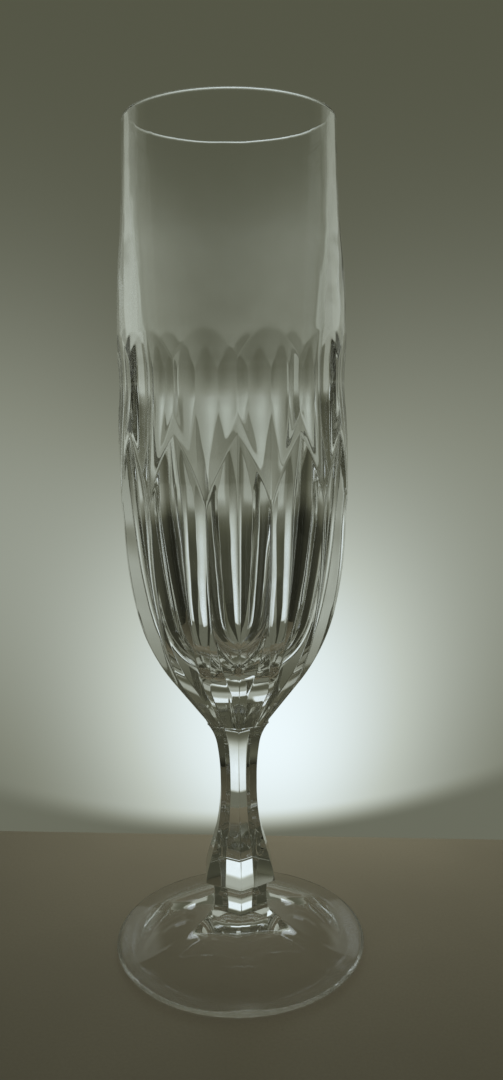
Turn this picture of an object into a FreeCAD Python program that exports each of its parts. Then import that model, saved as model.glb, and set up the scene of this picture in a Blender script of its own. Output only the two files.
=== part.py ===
import FreeCAD, Part
import math
import os
import Sketcher

# Champagne flute in clear cut crystal: bowl, hexagonal stem, collar and foot.
# Millimetres, +Z up, origin in the middle of the foot's resting plane.
# The glass has twelve cut petals over twelve mitred flutes round the bowl, and
# six facets on stem, collar and foot. A mitre and a stem edge both face -Y.

DIMENSIONS = {
    # Heights up the axis.
    "collar_base": 11.6,
    "stem_base": 19.5,
    "joint_height": 63.0,
    "cavity_floor": 77.8,
    "rim_height": 210.0,
    # Foot: a disc with a domed hollow beneath and six hollow panels on top.
    "foot_radius": 33.3,
    "foot_ring_inner": 27.0,
    "foot_ring_outer": 31.6,
    "foot_hollow": 5.8,
    "foot_hollow_flat": 6.0,
    "foot_hollow_bend": 62.0,
    "foot_edge_height": 1.3,
    "foot_lower_round": 1.75,
    "foot_upper_round": 1.5,
    "foot_shoulder_radius": 32.3,
    "foot_shoulder_height": 2.4,
    "foot_blank_top_radius": 9.6,
    "panel_inner": 7.2,
    "panel_outer": 35.5,
    "panel_outer_height": 1.8,
    "panel_radius": 48.0,
    # Collar: a short six-sided neck with slightly hollow faces.
    "collar_blank_radius": 9.0,
    "collar_face": 7.15,
    "collar_face_radius": 26.0,
    # Stem: six long faces, each half its width across flats from the axis.
    "stem_blank_radius": 10.8,
    "stem_foot_face": 9.05,
    "stem_bead_height": 24.0,
    "stem_bead_face": 8.2,
    "stem_bead_radius": 24.0,
    "stem_calf_height": 32.0,
    "stem_calf_face": 5.98,
    "stem_calf_radius": 62.0,
    "stem_waist_height": 46.5,
    "stem_waist_face": 4.7,
    "stem_waist_radius": 62.0,
    "stem_neck_height": 57.0,
    "stem_neck_face": 5.45,
    "stem_neck_radius": 14.0,
    "stem_top_face": 7.85,
    # Bowl, outside: straight cone, round shoulder, belly, and a taper to the rim.
    "joint_radius": 8.3,
    "cone_height": 75.0,
    "cone_radius": 17.4,
    "shoulder_height": 93.5,
    "shoulder_radius": 25.55,
    "shoulder_bend": 51.0,
    "belly_height": 124.0,
    "belly_radius": 28.45,
    "belly_bend": 127.0,
    "band_height": 164.0,
    "band_radius": 27.75,
    "taper_height": 182.0,
    "taper_radius": 26.6,
    "taper_bend": 210.0,
    "neck_height": 200.0,
    "neck_radius": 25.5,
    "neck_bend": 290.0,
    "rim_radius": 25.2,
    "rim_round": 0.7,
    # Bowl, inside: a nearly straight bore with a round floor.
    "bore_top_radius": 23.45,
    "bore_taper_height": 155.0,
    "bore_taper_radius": 22.25,
    "bore_taper_bend": 900.0,
    "bore_straight_height": 130.0,
    "bore_straight_radius": 22.2,
    "bore_turn_height": 91.8,
    "bore_turn_radius": 17.6,
    "bore_bend": 178.0,
    "floor_bend": 18.2,
    # Petals: flat faces across the bowl, scooped from a pointed foot to an arch.
    "petal_tip_height": 123.4,
    "petal_tip_face": 28.46,
    "petal_low_height": 142.8,
    "petal_low_face": 27.14,
    "petal_low_bend": 200.0,
    "petal_cusp_height": 153.7,
    "petal_cusp_face": 26.96,
    "petal_mid_bend": 50.0,
    "petal_arch_height": 160.7,
    "petal_arch_face": 27.81,
    "petal_clearance_height": 168.0,
    "petal_clearance_face": 28.7,
    # Flutes: long mitres whose two walls rise by flute_slope from the crease.
    "flute_foot_face": 8.2,
    "flute_cone_face": 16.7,
    "flute_cone_bend": 50.0,
    "flute_shoulder_face": 22.65,
    "flute_shoulder_bend": 116.0,
    "flute_belly_height": 113.0,
    "flute_belly_face": 24.75,
    "flute_belly_bend": 110.0,
    "flute_rise_height": 126.5,
    "flute_rise_face": 26.0,
    "flute_point_height": 137.4,
    "flute_point_face": 28.15,
    "flute_start_height": 144.0,
    "flute_start_face": 29.45,
    "flute_slope": 0.32,
    "flute_reach": 12.0,
    # Cutting outlines run out past the glass to this distance from the axis.
    "cut_reach": 40.0,
    "cut_width": 80.0,
}

PETAL_COUNT = 12
STEM_SIDES = 6
HALF_PITCH = 180.0 / PETAL_COUNT


def size(name):
    """Give the expression and the present value of one sheet cell."""
    return "Sizes." + name, DIMENSIONS[name]


def make_sheet(doc):
    sheet = doc.addObject("Spreadsheet::Sheet", "Sizes")
    for row, (name, value) in enumerate(DIMENSIONS.items(), start=1):
        sheet.set("A%d" % row, name)
        sheet.set("B%d" % row, str(value))
        sheet.setAlias("B%d" % row, name)
    doc.recompute()


def make_body(doc, label):
    body = doc.addObject("PartDesign::Body", label)
    body.Label = label
    body.Placement = FreeCAD.Placement()
    return body


def origin_feature(body, role):
    return next(item for item in body.Origin.OriginFeatures if item.Role == role)


def make_sketch(body, name, turn=0.0):
    """Sketch on the body's own front plane, turned about the vertical axis."""
    sketch = body.newObject("Sketcher::SketchObject", name)
    sketch.AttachmentSupport = (origin_feature(body, "XZ_Plane"), [""])
    sketch.MapMode = "FlatFace"
    rotation = FreeCAD.Rotation(FreeCAD.Vector(0, 1, 0), turn)
    sketch.AttachmentOffset = FreeCAD.Placement(FreeCAD.Vector(), rotation)
    return sketch


def arc_edge(start, end, radius, turn):
    """Arc from start to end: turn is +1 for counter-clockwise, -1 for clockwise."""
    chord = end - start
    rise = math.sqrt(max(radius ** 2 - (chord.Length / 2) ** 2, 0.0))
    side = FreeCAD.Vector(-chord.y, chord.x, 0).normalize() * turn
    centre = (start + end) * 0.5 + side * rise
    first, last = (start, end) if turn > 0 else (end, start)
    from_angle = math.atan2(first.y - centre.y, first.x - centre.x)
    to_angle = math.atan2(last.y - centre.y, last.x - centre.x)
    if to_angle < from_angle:
        to_angle += 2 * math.pi
    circle = Part.Circle(centre, FreeCAD.Vector(0, 0, 1), radius)
    return Part.ArcOfCircle(circle, from_angle, to_angle)


def bind(sketch, constraint, name, expression):
    index = sketch.addConstraint(constraint)
    sketch.renameConstraint(index, name)
    sketch.setExpression("Constraints." + name, expression)


def draw_outline(sketch, corners):
    """Closed outline of lines and arcs, every corner and radius bound to the sheet.

    A corner is (across, up, bend): across or up is None on that axis, and bend is
    None for a straight edge to the next corner, or (radius, turn) for an arc.
    """
    zero = ("0", 0.0)
    points = [FreeCAD.Vector((x or zero)[1], (y or zero)[1], 0) for x, y, _ in corners]
    ends = []
    for index, (_, _, bend) in enumerate(corners):
        start = points[index]
        end = points[(index + 1) % len(points)]
        if bend is None:
            edge = sketch.addGeometry(Part.LineSegment(start, end), False)
            ends.append((edge, 1, 2))
        else:
            (expression, radius), turn = bend
            edge = sketch.addGeometry(arc_edge(start, end, radius, turn), False)
            ends.append((edge, 1, 2) if turn > 0 else (edge, 2, 1))
            name = "bend_%d" % index
            bind(sketch, Sketcher.Constraint("Radius", edge, radius), name, expression)
    for index, (edge, _, last) in enumerate(ends):
        next_edge, next_first, _ = ends[(index + 1) % len(ends)]
        sketch.addConstraint(Sketcher.Constraint("Coincident", edge, last, next_edge, next_first))
    for index, (across, up, _) in enumerate(corners):
        edge, first, _ = ends[index]
        for kind, place, axis in (("DistanceX", across, -2), ("DistanceY", up, -1)):
            if place is None:
                on_axis = Sketcher.Constraint("PointOnObject", edge, first, axis)
                sketch.addConstraint(on_axis)
            else:
                expression, value = place
                name = "%s_%d" % (kind, index)
                distance = Sketcher.Constraint(kind, -1, 1, edge, first, value)
                bind(sketch, distance, name, expression)


def revolve(body, sketch, name):
    feature = body.newObject("PartDesign::Revolution", name)
    feature.Profile = sketch
    feature.ReferenceAxis = (sketch, ["V_Axis"])
    feature.Angle = 360.0


def cut_across(body, sketch, name):
    """Remove the sketched outline on both sides of its plane."""
    feature = body.newObject("PartDesign::Pocket", name)
    feature.Profile = sketch
    feature.SideType = "Symmetric"
    feature.setExpression("Length", "Sizes.cut_width")
    return feature


def cut_wall(body, sketch, name, side):
    """Remove the outline swept to one side, rising outward by flute_slope."""
    feature = body.newObject("PartDesign::Pocket", name)
    feature.Profile = sketch
    feature.UseCustomVector = True
    feature.AlongSketchNormal = False
    feature.Direction = FreeCAD.Vector(DIMENSIONS["flute_slope"], side, 0)
    feature.setExpression("Direction.x", "Sizes.flute_slope")
    feature.setExpression("Length", "Sizes.flute_reach")
    return feature


def repeat_round(body, features, name, count):
    pattern = body.newObject("PartDesign::PolarPattern", name)
    pattern.Originals = features
    pattern.Axis = (origin_feature(body, "Z_Axis"), [""])
    pattern.Angle = 360.0
    pattern.Occurrences = count
    body.Tip = pattern


def make_blank_cylinder(body, radius, bottom, top):
    sketch = make_sketch(body, body.Label + "_blank_outline")
    draw_outline(sketch, [
        (None, size(bottom), None),
        (size(radius), size(bottom), None),
        (size(radius), size(top), None),
        (None, size(top), None),
    ])
    revolve(body, sketch, body.Label + "_blank")


def make_bowl(doc):
    body = make_body(doc, "bowl")
    outline = make_sketch(body, "bowl_outline")
    rim_level = ("Sizes.rim_height - Sizes.rim_round",
                 DIMENSIONS["rim_height"] - DIMENSIONS["rim_round"])
    rim_outer = ("Sizes.rim_radius - Sizes.rim_round",
                 DIMENSIONS["rim_radius"] - DIMENSIONS["rim_round"])
    rim_inner = ("Sizes.bore_top_radius + Sizes.rim_round",
                 DIMENSIONS["bore_top_radius"] + DIMENSIONS["rim_round"])
    draw_outline(outline, [
        (None, size("joint_height"), None),
        (size("joint_radius"), size("joint_height"), None),
        (size("cone_radius"), size("cone_height"), (size("shoulder_bend"), 1)),
        (size("shoulder_radius"), size("shoulder_height"), (size("belly_bend"), 1)),
        (size("belly_radius"), size("belly_height"), None),
        (size("band_radius"), size("band_height"), (size("taper_bend"), 1)),
        (size("taper_radius"), size("taper_height"), (size("neck_bend"), -1)),
        (size("neck_radius"), size("neck_height"), None),
        (size("rim_radius"), rim_level, (size("rim_round"), 1)),
        (rim_outer, size("rim_height"), None),
        (rim_inner, size("rim_height"), (size("rim_round"), 1)),
        (size("bore_top_radius"), rim_level, (size("bore_taper_bend"), -1)),
        (size("bore_taper_radius"), size("bore_taper_height"), None),
        (size("bore_straight_radius"), size("bore_straight_height"), (size("bore_bend"), -1)),
        (size("bore_turn_radius"), size("bore_turn_height"), (size("floor_bend"), -1)),
        (None, size("cavity_floor"), None),
    ])
    revolve(body, outline, "bowl_blank")

    petal = make_sketch(body, "petal_outline", turn=HALF_PITCH)
    draw_outline(petal, [
        (size("petal_tip_face"), size("petal_tip_height"), (size("petal_low_bend"), 1)),
        (size("petal_low_face"), size("petal_low_height"), (size("petal_mid_bend"), -1)),
        (size("petal_cusp_face"), size("petal_cusp_height"), None),
        (size("petal_arch_face"), size("petal_arch_height"), None),
        (size("petal_clearance_face"), size("petal_clearance_height"), None),
        (size("cut_reach"), size("petal_clearance_height"), None),
        (size("cut_reach"), size("petal_tip_height"), None),
    ])
    repeat_round(body, [cut_across(body, petal, "petal")], "petals", PETAL_COUNT)

    flute = make_sketch(body, "flute_outline")
    draw_outline(flute, [
        (size("flute_foot_face"), size("joint_height"), None),
        (size("flute_cone_face"), size("cone_height"), (size("flute_cone_bend"), 1)),
        (size("flute_shoulder_face"), size("shoulder_height"), (size("flute_shoulder_bend"), 1)),
        (size("flute_belly_face"), size("flute_belly_height"), (size("flute_belly_bend"), -1)),
        (size("flute_rise_face"), size("flute_rise_height"), None),
        (size("flute_point_face"), size("flute_point_height"), None),
        (size("flute_start_face"), size("flute_start_height"), None),
        (size("cut_reach"), size("flute_start_height"), None),
        (size("cut_reach"), size("joint_height"), None),
    ])
    walls = [cut_wall(body, flute, "flute_wall_left", -1), cut_wall(body, flute, "flute_wall_right", 1)]
    repeat_round(body, walls, "flutes", PETAL_COUNT)
    return body


def make_stem(doc):
    body = make_body(doc, "stem")
    make_blank_cylinder(body, "stem_blank_radius", "stem_base", "joint_height")
    face = make_sketch(body, "stem_face_outline")
    draw_outline(face, [
        (size("stem_foot_face"), size("stem_base"), (size("stem_bead_radius"), 1)),
        (size("stem_bead_face"), size("stem_bead_height"), None),
        (size("stem_calf_face"), size("stem_calf_height"), (size("stem_calf_radius"), -1)),
        (size("stem_waist_face"), size("stem_waist_height"), (size("stem_waist_radius"), -1)),
        (size("stem_neck_face"), size("stem_neck_height"), (size("stem_neck_radius"), -1)),
        (size("stem_top_face"), size("joint_height"), None),
        (size("cut_reach"), size("joint_height"), None),
        (size("cut_reach"), size("stem_base"), None),
    ])
    repeat_round(body, [cut_across(body, face, "stem_face")], "stem_faces", STEM_SIDES)
    return body


def make_collar(doc):
    body = make_body(doc, "collar")
    make_blank_cylinder(body, "collar_blank_radius", "collar_base", "stem_base")
    face = make_sketch(body, "collar_face_outline")
    draw_outline(face, [
        (size("collar_face"), size("collar_base"), (size("collar_face_radius"), -1)),
        (size("collar_face"), size("stem_base"), None),
        (size("cut_reach"), size("stem_base"), None),
        (size("cut_reach"), size("collar_base"), None),
    ])
    repeat_round(body, [cut_across(body, face, "collar_face")], "collar_faces", STEM_SIDES)
    return body


def make_foot(doc):
    body = make_body(doc, "foot")
    outline = make_sketch(body, "foot_outline")
    draw_outline(outline, [
        (None, size("foot_hollow"), None),
        (size("foot_hollow_flat"), size("foot_hollow"), (size("foot_hollow_bend"), -1)),
        (size("foot_ring_inner"), None, None),
        (size("foot_ring_outer"), None, (size("foot_lower_round"), 1)),
        (size("foot_radius"), size("foot_edge_height"), (size("foot_upper_round"), 1)),
        (size("foot_shoulder_radius"), size("foot_shoulder_height"), None),
        (size("foot_blank_top_radius"), size("collar_base"), None),
        (None, size("collar_base"), None),
    ])
    revolve(body, outline, "foot_blank")
    panel = make_sketch(body, "panel_outline")
    draw_outline(panel, [
        (size("panel_outer"), size("panel_outer_height"), (size("panel_radius"), -1)),
        (size("panel_inner"), size("collar_base"), None),
        (size("cut_reach"), size("collar_base"), None),
        (size("cut_reach"), size("panel_outer_height"), None),
    ])
    repeat_round(body, [cut_across(body, panel, "panel")], "panels", STEM_SIDES)
    return body


def check_document(doc, bodies):
    for item in doc.Objects:
        if "Invalid" in item.State or "Error" in item.State:
            raise RuntimeError("%s did not compute: %s" % (item.Name, item.State))
    for body in bodies:
        shape = body.Shape
        if shape.isNull() or not shape.isValid() or len(shape.Solids) != 1:
            raise RuntimeError("%s is not one valid solid" % body.Label)


def main():
    doc = FreeCAD.newDocument("champagne_flute")
    make_sheet(doc)
    bodies = [make_foot(doc), make_collar(doc), make_stem(doc), make_bowl(doc)]
    doc.recompute()
    check_document(doc, bodies)
    os.makedirs("parts", exist_ok=True)
    for body in bodies:
        body.Shape.exportStep("parts/%s.step" % body.Label)
        print("%s: volume %.1f mm3" % (body.Label, body.Shape.Volume))


main()
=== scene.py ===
import math

import bmesh
import bpy
import numpy as np
from mathutils import Matrix, Vector


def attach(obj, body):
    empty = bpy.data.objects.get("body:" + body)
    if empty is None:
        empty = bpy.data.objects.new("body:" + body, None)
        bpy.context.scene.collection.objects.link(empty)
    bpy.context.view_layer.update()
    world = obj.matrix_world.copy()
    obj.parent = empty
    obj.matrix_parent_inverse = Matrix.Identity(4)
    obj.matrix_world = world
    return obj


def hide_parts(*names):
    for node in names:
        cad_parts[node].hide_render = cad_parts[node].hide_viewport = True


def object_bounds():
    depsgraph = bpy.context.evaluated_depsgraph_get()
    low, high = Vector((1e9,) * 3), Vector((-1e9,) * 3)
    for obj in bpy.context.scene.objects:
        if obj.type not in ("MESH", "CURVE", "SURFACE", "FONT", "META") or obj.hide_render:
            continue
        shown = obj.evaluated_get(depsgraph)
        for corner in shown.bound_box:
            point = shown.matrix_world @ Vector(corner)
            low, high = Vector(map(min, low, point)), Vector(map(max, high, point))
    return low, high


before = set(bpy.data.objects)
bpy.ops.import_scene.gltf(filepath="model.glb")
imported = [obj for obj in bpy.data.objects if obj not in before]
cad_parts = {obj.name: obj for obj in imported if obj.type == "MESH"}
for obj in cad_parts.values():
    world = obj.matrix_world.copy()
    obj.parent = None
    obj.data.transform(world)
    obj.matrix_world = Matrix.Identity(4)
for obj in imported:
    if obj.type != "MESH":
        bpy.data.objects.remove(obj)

cad_low, cad_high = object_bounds()

# Sizes are in millimetres and match the CAD model; meshes are written in metres.
MM = 0.001
RIM_HEIGHT = 210.0
SCALE = (cad_high.z - cad_low.z) / (RIM_HEIGHT * MM)

# Angles round the axis are measured from -Y towards +X.
FLUTES = 12
SIDES = 6
HALF_PITCH = math.pi / FLUTES
HALF_SIDE = math.pi / SIDES

RIM_ROUND = 0.7
JOINT_HEIGHT = 63.0
STEM_BASE = 19.5
COLLAR_BASE = 11.6
COLLAR_FACE = 7.15
FLUTE_SLOPE = 0.32
# Stem, collar and foot stand this far apart, so that the stem's base reflects.
JOINT_GAP = 0.05

# Widths over which two cut faces blend into each other.
EDGE_ROUND = 0.10
FLUTE_ROUND = 0.22
CREASE_ROUND = 0.12
SEAT_BLEND = 0.1
RIDGE_BLEND = 0.5
PANEL_BLEND = 0.1
# Keeps a flute's wall finite at angles where it runs away from the axis.
WALL_LIMIT = 0.2


def arc_or_line(u, start, end):
    """Height at u on the edge from start to end: (u, v, bend), bend is a signed radius."""
    u0, v0, bend = start
    u1, v1 = end[:2]
    if not bend:
        return v0 + (v1 - v0) * (u - u0) / (u1 - u0)
    chord = math.hypot(u1 - u0, v1 - v0)
    rise = math.sqrt(bend * bend - chord * chord / 4)
    side = -1.0 if bend > 0 else 1.0
    cu = (u0 + u1) / 2 - side * rise * (v1 - v0) / chord
    cv = (v0 + v1) / 2 + side * rise * (u1 - u0) / chord
    return cv - side * np.sqrt(np.maximum(bend * bend - (u - cu) ** 2, 0.0))


def curve_height(points, u):
    """Height of a chain of lines and arcs at each u, carried on straight past its ends."""
    u = np.asarray(u, float)
    first, second, last = points[0], points[1], points[-1]
    out = arc_or_line(u, (first[0], first[1], 0), second)
    for start, end in zip(points, points[1:]):
        inside = (u >= start[0]) & (u <= end[0])
        out = np.where(inside, arc_or_line(np.clip(u, start[0], end[0]), start, end), out)
    beyond = arc_or_line(u, (points[-2][0], points[-2][1], 0), last)
    return np.where(u > last[0], beyond, out)


def smooth_min(a, b, width):
    h = np.clip(0.5 + 0.5 * (b - a) / width, 0.0, 1.0)
    return b * (1 - h) + a * h - width * h * (1 - h)


def smooth_max(a, b, width):
    return -smooth_min(-a, -b, width)


# Outlines as (height, distance from the axis, radius of the arc to the next or 0).
BOWL_OUTSIDE = [
    (63.0, 8.3, 0), (75.0, 17.4, 51.0), (93.5, 25.55, 127.0), (124.0, 28.45, 0),
    (164.0, 27.75, 210.0), (182.0, 26.6, -290.0), (200.0, 25.5, 0), (209.3, 25.2, 0),
]
PETAL_FACE = [
    (123.4, 28.46, 200.0), (142.8, 27.14, -50.0), (153.7, 26.96, 0),
    (160.7, 27.81, 0), (168.0, 28.7, 0),
]
FLUTE_CREASE = [
    (63.0, 8.2, 0), (75.0, 16.7, 50.0), (93.5, 22.65, 116.0), (113.0, 24.75, -110.0),
    (126.5, 26.0, 0), (137.4, 28.15, 0), (144.0, 29.45, 0),
]
STEM_FACE = [
    (19.5, 9.05, 24.0), (24.0, 8.2, 0), (32.0, 5.98, -62.0),
    (46.5, 4.7, -62.0), (57.0, 5.45, -14.0), (63.0, 7.85, 0),
]
COLLAR_FACE_LINE = [(11.6, COLLAR_FACE, -26.0), (19.5, COLLAR_FACE, 0)]
# The same for the foot's top, with distance first and height second.
PANEL_HEIGHT = [(COLLAR_FACE, 11.6, -48.0), (35.5, 1.8, 0)]
FOOT_BLANK = [(9.6, 11.6, 0), (32.3, 2.4, 0)]
# Corners as (distance, height), and the radius of each arc between them or 0.
BORE = [(23.45, 209.3), (22.25, 155.0), (22.2, 130.0), (17.6, 91.8), (0.0, 77.8)]
BORE_BENDS = [900.0, 0, 178.0, 18.2]
RIM = [(25.2, 209.3), (24.5, RIM_HEIGHT), (24.15, RIM_HEIGHT), (23.45, 209.3)]
RIM_BENDS = [RIM_ROUND, 0, RIM_ROUND]
FOOT_EDGE = [(32.3, 2.4), (33.3, 1.3), (31.6, 0.0), (27.0, 0.0), (6.0, 5.8), (0.0, 5.8)]
FOOT_BENDS = [-1.5, -1.75, 0, 62.0, 0]

# Mesh fineness: heights that rows must meet, steps between them, and steps on arcs in
# millimetres. Straight edges take steps that are longer by the factor.
BOWL_STOPS = [JOINT_HEIGHT, 66.0, 93.5, 120.0, 123.4, 137.4, 142.8, 153.7, 160.7, 164.0, 209.3]
BOWL_STEPS = [10, 28, 20, 8, 40, 14, 18, 24, 4, 30]
RIM_STEP = 0.1
BORE_STEP = 1.2
FOOT_STEP = 0.6
ARC_TURN = math.radians(4)
LEAST_ARC_STEPS = 6
STRAIGHT_FACTOR = 4
FLUTE_COLUMNS = 14
BAND_COLUMNS = 8
PETAL_COLUMNS = 14
SIDE_COLUMNS = 14
COLLAR_ROWS = 15
PANEL_ROWS = 40
MERGE_DISTANCE = 2e-7
SHARP_ANGLE = math.radians(28)

# The stem's flange under the bowl, which eases from the bowl's outline to the stem's own,
# and the round at the stem's lower edge.
SEAT_SHARE = 0.15
FLANGE_DROP = 0.15
FLANGE_DEPTH = 0.4
BASE_ROUND = 0.25
BASE_ROWS = 5
STEM_STOPS = [JOINT_HEIGHT - FLANGE_DEPTH, 56.0, 32.0, 24.0, STEM_BASE + BASE_ROUND]
STEM_STEPS = [18, 30, 12, 8]


def trace(corners, bends, step):
    """Points along an outline of (across, up) corners; a bend over 0 turns counter-clockwise."""
    points = [np.array(corners[0], float)]
    for start, end, bend in zip(corners, corners[1:], bends):
        a, b = np.array(start, float), np.array(end, float)
        length = np.linalg.norm(b - a)
        if not bend:
            count = max(1, int(math.ceil(length / (STRAIGHT_FACTOR * step))))
            points += [a + (b - a) * i / count for i in range(1, count + 1)]
            continue
        radius = abs(bend)
        side = np.array([-(b - a)[1], (b - a)[0]]) / length * (1 if bend > 0 else -1)
        centre = (a + b) / 2 + side * math.sqrt(max(radius ** 2 - length ** 2 / 4, 0.0))
        turn = 2 * math.asin(min(1.0, length / 2 / radius)) * (1 if bend > 0 else -1)
        by_length = int(math.ceil(abs(turn) * radius / step))
        count = max(LEAST_ARC_STEPS, by_length, int(abs(turn) / ARC_TURN))
        for i in range(1, count + 1):
            angle = turn * i / count
            spin = np.array([[math.cos(angle), -math.sin(angle)], [math.sin(angle), math.cos(angle)]])
            points.append(centre + spin @ (a - centre))
    return points


def bowl_radius(height, angle):
    """Outside of the bowl. height and angle may be arrays; angle is from a flute's crease."""
    blank = curve_height(BOWL_OUTSIDE, height)
    near = np.abs((angle + HALF_PITCH) % (2 * HALF_PITCH) - HALF_PITCH)
    from_petal = HALF_PITCH - near
    face = curve_height(PETAL_FACE, height)
    petal = smooth_min(face / np.cos(from_petal), face / np.cos(2 * HALF_PITCH - from_petal), EDGE_ROUND)
    crease = curve_height(FLUTE_CREASE, height)
    flute = smooth_min(wall(crease, near), wall(crease, 2 * HALF_PITCH - near), FLUTE_ROUND)
    cut = smooth_min(petal, flute, FLUTE_ROUND)
    return smooth_min(blank, cut, EDGE_ROUND)


def wall(crease, angle):
    """One side of a mitre: straight across, rising outward from its filleted crease."""
    soft = np.sqrt(np.sin(angle) ** 2 + (CREASE_ROUND / crease) ** 2) - CREASE_ROUND / crease
    return crease / np.maximum(np.cos(angle) - FLUTE_SLOPE * soft, WALL_LIMIT)


def hexagon(face, angle):
    """Radius of a six-sided section with lightly rounded corners; a corner is at angle 0."""
    from_face = np.abs(angle % (2 * HALF_SIDE) - HALF_SIDE)
    return smooth_min(face / np.cos(from_face), face / np.cos(2 * HALF_SIDE - from_face), CREASE_ROUND)


def clustered(count):
    """Shares from 0 to 1 that crowd towards both ends."""
    return (1 - np.cos(np.linspace(0, math.pi, count + 1))) / 2


def loft(name, rows, cap_start, cap_end):
    """Closed mesh through rows of points; capped rows end in a fan of the fused joint's faces."""
    rows = np.asarray(rows) * MM * SCALE
    row_count, column_count = rows.shape[:2]
    vertices = rows.reshape(-1, 3)
    index = np.arange(row_count * column_count).reshape(row_count, column_count)
    right = np.roll(index, -1, axis=1)
    quads = np.stack([index[:-1], right[:-1], right[1:], index[1:]], axis=-1).reshape(-1, 4)
    mesh = bpy.data.meshes.new(name)
    work = bmesh.new()
    made = [work.verts.new(p) for p in vertices]
    for quad in quads:
        work.faces.new([made[i] for i in quad])
    for row, wanted in ((0, cap_start), (-1, cap_end)):
        if wanted:
            middle = work.verts.new(rows[row].mean(axis=0))
            edge = index[row]
            for j in range(column_count):
                a, b = made[edge[j]], made[edge[(j + 1) % column_count]]
                face = work.faces.new((b, a, middle) if row == 0 else (a, b, middle))
                face.material_index = 1
    bmesh.ops.remove_doubles(work, verts=work.verts, dist=MERGE_DISTANCE)
    bmesh.ops.recalc_face_normals(work, faces=work.faces)
    for face in work.faces:
        face.smooth = True
    work.to_mesh(mesh)
    work.free()
    mesh.set_sharp_from_angle(angle=SHARP_ANGLE)
    piece = bpy.data.objects.new(name, mesh)
    bpy.context.scene.collection.objects.link(piece)
    return piece


def ring(radius, height, angles):
    radius = np.broadcast_to(radius, angles.shape)
    height = np.broadcast_to(height, angles.shape)
    return np.stack([radius * np.sin(angles), -radius * np.cos(angles), height], axis=-1)


def bowl_angles(height):
    """Column angles at a height: they follow the edges of flute, plain band and petal."""
    blank = curve_height(BOWL_OUTSIDE, height)
    crease = curve_height(FLUTE_CREASE, height)
    lean = math.atan(FLUTE_SLOPE)
    share = min(1.0, crease / blank)
    flute_edge = max(0.0, math.acos(share / math.hypot(1, FLUTE_SLOPE)) - lean) if share < 1 else 0.0
    face = curve_height(PETAL_FACE, height)
    petal_half = math.acos(face / blank) if face < blank else 0.0
    petal_edge = min(max(HALF_PITCH - petal_half, 0.0), HALF_PITCH)
    flute_edge = min(flute_edge, petal_edge)
    half = np.concatenate([
        flute_edge * clustered(FLUTE_COLUMNS),
        flute_edge + (petal_edge - flute_edge) * clustered(BAND_COLUMNS)[1:],
        petal_edge + (HALF_PITCH - petal_edge) * clustered(PETAL_COLUMNS)[1:],
    ])
    period = np.concatenate([half, 2 * HALF_PITCH - half[-2:0:-1]])
    starts = np.arange(FLUTES) * 2 * HALF_PITCH
    return (starts[:, None] + period[None, :]).ravel()


def spread(stops, steps):
    """Heights from stop to stop, with the given number of steps in each stretch."""
    heights = [stops[0]]
    for low, high, count in zip(stops, stops[1:], steps):
        heights += [low + (high - low) * (i + 1) / count for i in range(count)]
    return heights


def make_bowl():
    rows = []
    for height in spread(BOWL_STOPS, BOWL_STEPS):
        angles = bowl_angles(height)
        rows.append(ring(bowl_radius(height, angles), height, angles))
    for across, up in trace(RIM, RIM_BENDS, RIM_STEP)[1:]:
        rows.append(ring(across, up, angles))
    for across, up in trace(BORE, [-bend for bend in BORE_BENDS], BORE_STEP)[1:]:
        rows.append(ring(max(across, 0.0), up, angles))
    return loft("bowl_glass", rows, True, False)


def side_angles():
    """Column angles of a six-sided piece, crowded at its corners and face middles."""
    half = HALF_SIDE * clustered(SIDE_COLUMNS)
    side = np.concatenate([half, 2 * HALF_SIDE - half[-2:0:-1]])
    starts = np.arange(SIDES) * 2 * HALF_SIDE
    return (starts[:, None] + side[None, :]).ravel()


def make_stem():
    angles = side_angles()
    seat = bowl_radius(JOINT_HEIGHT, angles)
    top = smooth_max(hexagon(curve_height(STEM_FACE, JOINT_HEIGHT), angles), seat, SEAT_BLEND)
    flange = SEAT_SHARE * seat + (1 - SEAT_SHARE) * top
    rows = [
        ring(seat, JOINT_HEIGHT, angles),
        ring(flange, JOINT_HEIGHT, angles),
        ring(top, JOINT_HEIGHT - FLANGE_DROP, angles),
    ]
    for height in spread(STEM_STOPS, STEM_STEPS):
        rows.append(ring(hexagon(curve_height(STEM_FACE, height), angles), height, angles))
    base_face = float(curve_height(STEM_FACE, STEM_BASE))
    for i in range(1, BASE_ROWS + 1):
        turn = math.radians(90) * i / BASE_ROWS
        face = base_face - BASE_ROUND * (1 - math.cos(turn))
        height = STEM_BASE + BASE_ROUND * (1 - math.sin(turn))
        rows.append(ring(hexagon(face, angles), height, angles))
    for share in (0.5, 1.0):
        face = base_face - BASE_ROUND + (COLLAR_FACE - base_face + BASE_ROUND) * share
        rows.append(ring(hexagon(face, angles), STEM_BASE, angles))
    rows.append(ring(0.0, STEM_BASE, angles))
    return loft("stem_glass", rows, True, False)


def make_collar():
    angles = side_angles()
    heights = np.linspace(STEM_BASE - JOINT_GAP, COLLAR_BASE + JOINT_GAP, COLLAR_ROWS)
    rows = [ring(0.0, heights[0], angles)]
    rows += [ring(hexagon(curve_height(COLLAR_FACE_LINE, z), angles), z, angles) for z in heights]
    rows.append(ring(0.0, heights[-1], angles))
    return loft("collar_glass", rows, False, False)


def panel_height(distance, angles):
    """Top of the foot: six hollow panels, cut into the turned blank."""
    from_face = np.abs(angles % (2 * HALF_SIDE) - HALF_SIDE)
    own = curve_height(PANEL_HEIGHT, distance * np.cos(from_face))
    next_one = curve_height(PANEL_HEIGHT, distance * np.cos(2 * HALF_SIDE - from_face))
    blank = curve_height(FOOT_BLANK, distance)
    return smooth_min(smooth_min(own, next_one, RIDGE_BLEND), blank, PANEL_BLEND)


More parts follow.
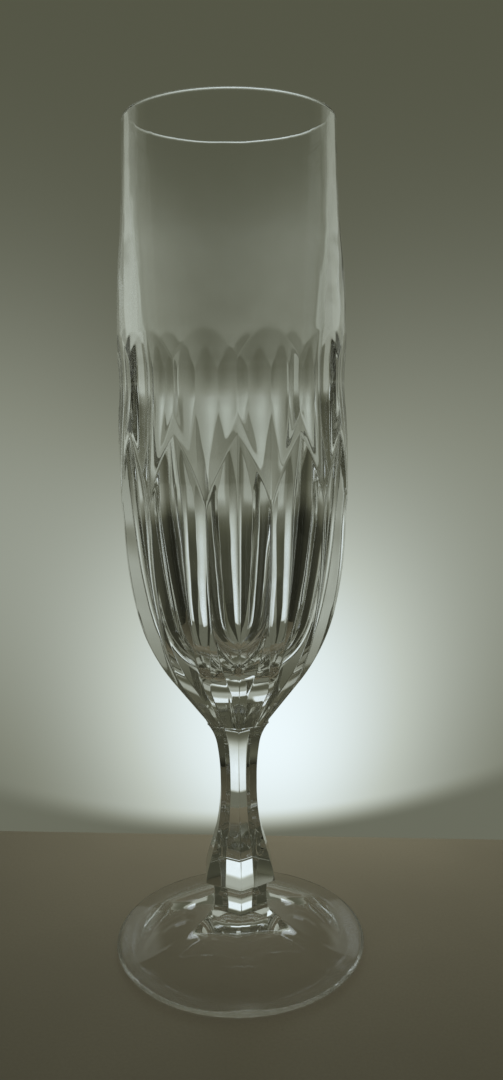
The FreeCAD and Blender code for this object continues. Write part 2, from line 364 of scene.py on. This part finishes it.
def make_foot():
    angles = side_angles()
    inner = hexagon(COLLAR_FACE, angles)
    shoulder = FOOT_EDGE[0][0]
    rows = [ring(0.0, COLLAR_BASE, angles), ring(inner, COLLAR_BASE, angles)]
    for share in np.linspace(0, 1, PANEL_ROWS + 1)[1:]:
        distance = inner + (shoulder - inner) * share
        rows.append(ring(distance, panel_height(distance, angles), angles))
    for across, up in trace(FOOT_EDGE, FOOT_BENDS, FOOT_STEP)[1:]:
        height = np.full(angles.shape, up)
        if across > shoulder:
            height = np.minimum(up, panel_height(np.full(angles.shape, across), angles))
        rows.append(ring(across, height, angles))
    return loft("foot_glass", rows, False, False)


# ---------------------------------------------------------------- materials

# Noises are (patches per metre, detail); depths and heights are in metres.
CRYSTAL_IOR = 1.555
CRYSTAL_DARK = (0.98, 0.988, 0.98)
CRYSTAL_PALE = (0.99, 0.992, 0.99)
FLOW_NOISE = (95.0, 1.0)
FLOW_DEPTH = 0.00010
FLOW_FROM = 0.064
FLOW_FULL = 0.080
FLOW_IN_STEM = 0.1
POLISH_NOISE = (1500.0, 3.0)
POLISH_DEPTH = 0.0000004
SCUFF_NOISE = (2600.0, 6.0)
SCUFF_RANGE = (0.5, 0.7)
SCUFF_HEIGHT = 0.0007
SCUFF_DEPTH = 0.00002
SCUFF_ROUGHNESS = 0.22
CLOUD_NOISE = (18.0, 3.0)
GRAIN_NOISE = (1400.0, 4.0)
GRAIN_DEPTH = 0.00002
GRAIN_RANGE = (0.3, 0.7)
FLOOR_MIX_RANGE = (0.1, 0.4)
FLOOR_ROUGHNESS = (0.5, 0.64)
FLOOR_DARK = (0.341, 0.320, 0.252)
FLOOR_PALE = (0.392, 0.367, 0.290)


def new_material(name):
    material = bpy.data.materials.new(name)
    material.use_nodes = True
    nodes = material.node_tree.nodes
    nodes.clear()
    return material, nodes, material.node_tree.links


def add_noise(nodes, links, place, scale, detail):
    """Noise over the object's own metres; scale is in patches per metre."""
    noise = nodes.new("ShaderNodeTexNoise")
    noise.inputs["Scale"].default_value = scale
    noise.inputs["Detail"].default_value = detail
    links.new(place.outputs["Object"], noise.inputs["Vector"])
    return noise.outputs["Fac"]


def add_range(nodes, links, value, low, high, to_low, to_high):
    """Carry value from one range to another and stop at its ends."""
    remap = nodes.new("ShaderNodeMapRange")
    remap.inputs["From Min"].default_value = low
    remap.inputs["From Max"].default_value = high
    remap.inputs["To Min"].default_value = to_low
    remap.inputs["To Max"].default_value = to_high
    links.new(value, remap.inputs["Value"])
    return remap.outputs[0]


def add_product(nodes, links, a, b):
    product = nodes.new("ShaderNodeMath")
    product.operation = "MULTIPLY"
    links.new(a, product.inputs[0])
    links.new(b, product.inputs[1])
    return product.outputs[0]


def add_bump(nodes, links, height, distance, below=None):
    bump = nodes.new("ShaderNodeBump")
    bump.inputs["Distance"].default_value = distance
    links.new(height, bump.inputs["Height"])
    if below is not None:
        links.new(below, bump.inputs["Normal"])
    return bump.outputs["Normal"]


def add_mix(nodes, links, share, first, second):
    mix = nodes.new("ShaderNodeMix")
    mix.data_type = "RGBA"
    mix.inputs["A"].default_value = (*first, 1)
    mix.inputs["B"].default_value = (*second, 1)
    links.new(share, mix.inputs["Factor"])
    return next(socket for socket in mix.outputs if socket.type == "RGBA")


def crystal():
    """Lead crystal: faint flow waves, acid-polished cuts, scuffs where the foot stands."""
    material, nodes, links = new_material("crystal")
    out = nodes.new("ShaderNodeOutputMaterial")
    shader = nodes.new("ShaderNodeBsdfPrincipled")
    place = nodes.new("ShaderNodeTexCoord")
    split = nodes.new("ShaderNodeSeparateXYZ")
    links.new(place.outputs["Object"], split.inputs[0])
    flow = add_noise(nodes, links, place, *FLOW_NOISE)
    polish = add_noise(nodes, links, place, *POLISH_NOISE)
    scuff = add_noise(nodes, links, place, *SCUFF_NOISE)
    near_table = add_range(nodes, links, split.outputs["Z"], 0.0, SCUFF_HEIGHT, 1.0, 0.0)
    marks = add_product(nodes, links, near_table, add_range(nodes, links, scuff, *SCUFF_RANGE, 0.0, 1.0))
    roughness = add_range(nodes, links, marks, 0.0, 1.0, 0.0, SCUFF_ROUGHNESS)
    links.new(roughness, shader.inputs["Roughness"])
    in_bowl = add_range(nodes, links, split.outputs["Z"], FLOW_FROM, FLOW_FULL, FLOW_IN_STEM, 1.0)
    waves = add_bump(nodes, links, add_product(nodes, links, flow, in_bowl), FLOW_DEPTH)
    waves = add_bump(nodes, links, polish, POLISH_DEPTH, waves)
    links.new(add_bump(nodes, links, marks, SCUFF_DEPTH, waves), shader.inputs["Normal"])
    tint = add_mix(nodes, links, flow, CRYSTAL_DARK, CRYSTAL_PALE)
    links.new(tint, shader.inputs["Base Color"])
    shader.inputs["IOR"].default_value = CRYSTAL_IOR
    shader.inputs["Transmission Weight"].default_value = 1.0
    links.new(shader.outputs["BSDF"], out.inputs["Surface"])
    return material


def fused_joint():
    """The hidden faces where two gathers are one glass: light passes straight through."""
    material, nodes, links = new_material("fused_joint")
    out = nodes.new("ShaderNodeOutputMaterial")
    shader = nodes.new("ShaderNodeBsdfTransparent")
    links.new(shader.outputs["BSDF"], out.inputs["Surface"])
    return material


def floor_material():
    """Painted board: warm pale grey with fine grain and faint clouding."""
    material, nodes, links = new_material("floor")
    out = nodes.new("ShaderNodeOutputMaterial")
    shader = nodes.new("ShaderNodeBsdfPrincipled")
    place = nodes.new("ShaderNodeTexCoord")
    cloud = add_noise(nodes, links, place, *CLOUD_NOISE)
    grain = add_noise(nodes, links, place, *GRAIN_NOISE)
    both = add_product(nodes, links, cloud, grain)
    share = add_range(nodes, links, both, *FLOOR_MIX_RANGE, 0.0, 1.0)
    colour = add_mix(nodes, links, share, FLOOR_DARK, FLOOR_PALE)
    links.new(colour, shader.inputs["Base Color"])
    roughness = add_range(nodes, links, grain, *GRAIN_RANGE, *FLOOR_ROUGHNESS)
    links.new(roughness, shader.inputs["Roughness"])
    links.new(add_bump(nodes, links, grain, GRAIN_DEPTH), shader.inputs["Normal"])
    links.new(shader.outputs["BSDF"], out.inputs["Surface"])
    return material


# ---------------------------------------------------------------- stage

# The floor is the top of a slab, in metres; its back edge is where the wall begins.
SLAB_SIZE = Vector((0.30, 0.22, 0.02))
SLAB_BACK = 0.0592
SLAB_TURN = math.radians(-6.6)
# The slab's top stays this far under the foot's ring, so that their faces don't coincide.
SLAB_CLEARANCE = 0.00005


def make_floor():
    turn = Matrix.Rotation(SLAB_TURN, 3, "Z")
    work = bmesh.new()
    bmesh.ops.create_cube(work, size=1.0)
    for v in work.verts:
        across = v.co.x * SLAB_SIZE.x
        deep = SLAB_BACK + (v.co.y - 0.5) * SLAB_SIZE.y
        up = (v.co.z - 0.5) * SLAB_SIZE.z - SLAB_CLEARANCE
        v.co = turn @ Vector((across, deep, up))
    mesh = bpy.data.meshes.new("floor")
    work.to_mesh(mesh)
    work.free()
    floor = bpy.data.objects.new("floor", mesh)
    bpy.context.scene.collection.objects.link(floor)
    mesh.materials.append(floor_material())


# Soft pools on the studio wall: strength, azimuth and its width, elevation and its width.
MAIN_POOL = (0.75, 3.8, 7.4, -20.0, 7.7)
WALL_POOLS = [
    (0.23, -40.0, 70.0, -8.2, 9.7), (0.12, 4.0, 4.5, -24.0, 3.0), (-0.07, 0.0, 5.5, -2.0, 7.0),
]
WALL_LEVEL = 0.09
# The shadow along the wall's base: the azimuth of its lowest point and how far that is
# under the horizon, how it curves up beside that point and by how much at most, how
# soft its edge is, and how bright it is.
SHADOW_AZIMUTH = 2.0
SHADOW_DROP = 26.2
SHADOW_CURVE = 0.012
SHADOW_RISE = 6.0
SHADOW_SOFTNESS = 0.8
SHADOW_LEVEL = 0.15
# Dimming of the room, low at the sides and everywhere behind the camera: the range that
# stays clear, its softness, and the share of light that is lost outside it.
SIDE_CLEAR = (-17.5, 21.5, 6.0)
HIGH_CLEAR = (-2.0, 90.0, 13.0)
SIDE_LOSS = 0.8
FRONT_CLEAR = (-70.0, 70.0, 15.0)
BEHIND_LOSS = 0.5
# Light panels out of the picture: strength, left, right, low and high edge, softness.
PANELS = [
    (1.0, -8.0, 8.0, 30.5, 35.0, 3.0), (0.33, -26.0, 26.0, 25.5, 29.0, 3.0),
    (0.19, -62.0, -31.0, -3.0, 18.0, 4.0), (0.19, 31.0, 62.0, -3.0, 18.0, 4.0),
]
# Colour of the light at each level.
LEVEL_COLOURS = [
    (0.09, (0.088, 0.091, 0.060)), (0.25, (0.236, 0.25, 0.198)),
    (0.55, (0.506, 0.55, 0.49)), (0.8, (0.72, 0.80, 0.79)),
]
BRIGHTEST_COLOUR = (0.86, 0.96, 0.99)


def make_world():
    """A studio wrapped round the glass: dim olive above, a pale pool of light low behind it."""
    world = bpy.data.worlds.new("studio")
    bpy.context.scene.world = world
    world.use_nodes = True
    nodes, links = world.node_tree.nodes, world.node_tree.links
    nodes.clear()

    def math_node(operation, a, b=None):
        node = nodes.new("ShaderNodeMath")
        node.operation = operation
        for socket, value in zip(node.inputs, (a, b)):
            if value is None:
                continue
            if isinstance(value, (int, float)):
                socket.default_value = value
            else:
                links.new(value, socket)
        return node.outputs[0]

    def lobe(height, azimuth_at, azimuth_width, elevation_at, elevation_width):
        """A soft pool of light; angles in degrees, azimuth 0 is straight behind the glass."""
        across = math_node("DIVIDE", math_node("SUBTRACT", azimuth, azimuth_at), azimuth_width)
        up = math_node("DIVIDE", math_node("SUBTRACT", elevation, elevation_at), elevation_width)
        squares = math_node("ADD", math_node("MULTIPLY", across, across), math_node("MULTIPLY", up, up))
        return math_node("MULTIPLY", math_node("EXPONENT", math_node("MULTIPLY", squares, -0.5)), height)

    def inside(value, low, high, soft):
        """1 between the two angles, falling off softly outside them."""
        middle = math_node("ABSOLUTE", math_node("SUBTRACT", value, (low + high) / 2))
        fall = nodes.new("ShaderNodeMapRange")
        fall.interpolation_type = "SMOOTHSTEP"
        fall.inputs["From Min"].default_value = (high - low) / 2 + soft
        fall.inputs["From Max"].default_value = (high - low) / 2
        links.new(middle, fall.inputs["Value"])
        return fall.outputs[0]

    def panel(height, left, right, low, high, soft):
        """A soft-edged rectangle of light."""
        width = inside(azimuth, left, right, soft)
        shape = math_node("MULTIPLY", width, inside(elevation, low, high, soft))
        return math_node("MULTIPLY", shape, height)

    place = nodes.new("ShaderNodeTexCoord")
    split = nodes.new("ShaderNodeSeparateXYZ")
    links.new(place.outputs["Generated"], split.inputs[0])
    x, y, z = split.outputs
    azimuth = math_node("DEGREES", math_node("ARCTAN2", x, y))
    elevation = math_node("DEGREES", math_node("ARCSINE", z))
    level = lobe(*MAIN_POOL)
    for pool in WALL_POOLS:
        level = math_node("ADD", level, lobe(*pool))
    level = math_node("ADD", level, WALL_LEVEL)
    from_middle = math_node("SUBTRACT", azimuth, SHADOW_AZIMUTH)
    shadow_line = math_node("MULTIPLY", math_node("MULTIPLY", from_middle, from_middle), SHADOW_CURVE)
    shadow_line = math_node("SUBTRACT", math_node("MINIMUM", shadow_line, SHADOW_RISE), SHADOW_DROP)
    above = nodes.new("ShaderNodeMapRange")
    above.interpolation_type = "SMOOTHSTEP"
    above.inputs["From Min"].default_value = -SHADOW_SOFTNESS
    above.inputs["From Max"].default_value = SHADOW_SOFTNESS
    links.new(math_node("SUBTRACT", elevation, shadow_line), above.inputs["Value"])
    lit = math_node("MULTIPLY", math_node("SUBTRACT", level, SHADOW_LEVEL), above.outputs[0])
    level = math_node("ADD", lit, SHADOW_LEVEL)
    beside = math_node("SUBTRACT", 1.0, inside(azimuth, *SIDE_CLEAR))
    low = math_node("SUBTRACT", 1.0, inside(elevation, *HIGH_CLEAR))
    dimmed = math_node("MULTIPLY", math_node("MULTIPLY", beside, low), SIDE_LOSS)
    level = math_node("MULTIPLY", level, math_node("SUBTRACT", 1.0, dimmed))
    around = math_node("SUBTRACT", 1.0, inside(azimuth, *FRONT_CLEAR))
    dimmed = math_node("MULTIPLY", around, BEHIND_LOSS)
    level = math_node("MULTIPLY", level, math_node("SUBTRACT", 1.0, dimmed))
    for lamp in PANELS:
        level = math_node("ADD", level, panel(*lamp))
    ramp = nodes.new("ShaderNodeValToRGB")
    ramp.color_ramp.elements[0].position = 0.0
    ramp.color_ramp.elements[0].color = (0.0, 0.0, 0.0, 1)
    ramp.color_ramp.elements[1].position = 1.0
    ramp.color_ramp.elements[1].color = (*BRIGHTEST_COLOUR, 1)
    for position, colour in LEVEL_COLOURS:
        stop = ramp.color_ramp.elements.new(position)
        stop.color = (*colour, 1)
    links.new(level, ramp.inputs[0])
    background = nodes.new("ShaderNodeBackground")
    links.new(ramp.outputs[0], background.inputs["Color"])
    out = nodes.new("ShaderNodeOutputWorld")
    links.new(background.outputs[0], out.inputs["Surface"])


LAMP_PLACE = (0.04, 0.17, 0.11)
LAMP_SIZE = 0.1
LAMP_ENERGY = 0.15
LAMP_COLOUR = (1.0, 0.95, 0.82)


def make_light():
    """A soft lamp behind the glass that lights the floor and doesn't show in the glass."""
    data = bpy.data.lights.new("softbox", "AREA")
    data.shape = "DISK"
    data.size = LAMP_SIZE
    data.energy = LAMP_ENERGY
    data.color = LAMP_COLOUR
    light = bpy.data.objects.new("softbox", data)
    bpy.context.scene.collection.objects.link(light)
    light.visible_camera = False
    light.visible_glossy = False
    light.visible_transmission = False
    light.location = LAMP_PLACE
    light.rotation_euler = (Vector((0, 0, 0)) - light.location).to_track_quat("-Z", "Y").to_euler()


# Distances in metres, angles in degrees, and the lens in millimetres on a 36 mm sensor.
CAMERA_DISTANCE = 0.23066
CAMERA_HEIGHT = 0.14719
CAMERA_TURN_ROUND_GLASS = -2.05
CAMERA_YAW = -1.042
CAMERA_PITCH = 9.217
CAMERA_ROLL = -0.675
CAMERA_LENS = 30.8066667
CAMERA_CLIP = 0.01


def make_camera():
    """Stands in front of the glass, between foot and rim in height, and looks a little down."""
    distance = CAMERA_DISTANCE * SCALE
    height = CAMERA_HEIGHT * SCALE
    pattern_turn = math.radians(CAMERA_TURN_ROUND_GLASS)
    yaw = math.radians(CAMERA_YAW)
    pitch = math.radians(CAMERA_PITCH)
    roll = math.radians(CAMERA_ROLL)
    data = bpy.data.cameras.new("camera")
    data.lens = CAMERA_LENS
    camera = bpy.data.objects.new("camera", data)
    bpy.context.scene.collection.objects.link(camera)
    turn = Matrix.Rotation(pattern_turn, 4, "Z")
    place = Matrix.Translation(Vector((0, -distance, height)))
    aim = Matrix.Rotation(yaw, 4, "Z") @ Matrix.Rotation(math.radians(90) - pitch, 4, "X")
    camera.matrix_world = turn @ place @ aim @ Matrix.Rotation(roll, 4, "Z")
    data.clip_start = CAMERA_CLIP
    bpy.context.scene.camera = camera


glass = crystal()
joint = fused_joint()
for piece, node, slot in (
    (make_bowl(), "bowl", "bowl_crystal"),
    (make_stem(), "stem", "stem_crystal"),
    (make_collar(), "collar", "stem_crystal"),
    (make_foot(), "foot", "foot_crystal"),
):
    piece.data.materials.append(glass)
    piece.data.materials.append(joint)
    piece.visible_shadow = False
    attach(piece, "root")
    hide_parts(node)
make_floor()
make_world()
make_light()
make_camera()

scene = bpy.context.scene
scene.view_settings.view_transform = "Standard"
# Light crosses many glass faces on its way, so its paths are long.
scene.cycles.max_bounces = 32
scene.cycles.transmission_bounces = 32
scene.cycles.glossy_bounces = 24
scene.cycles.transparent_max_bounces = 32
scene.cycles.caustics_refractive = True
scene.cycles.caustics_reflective = True
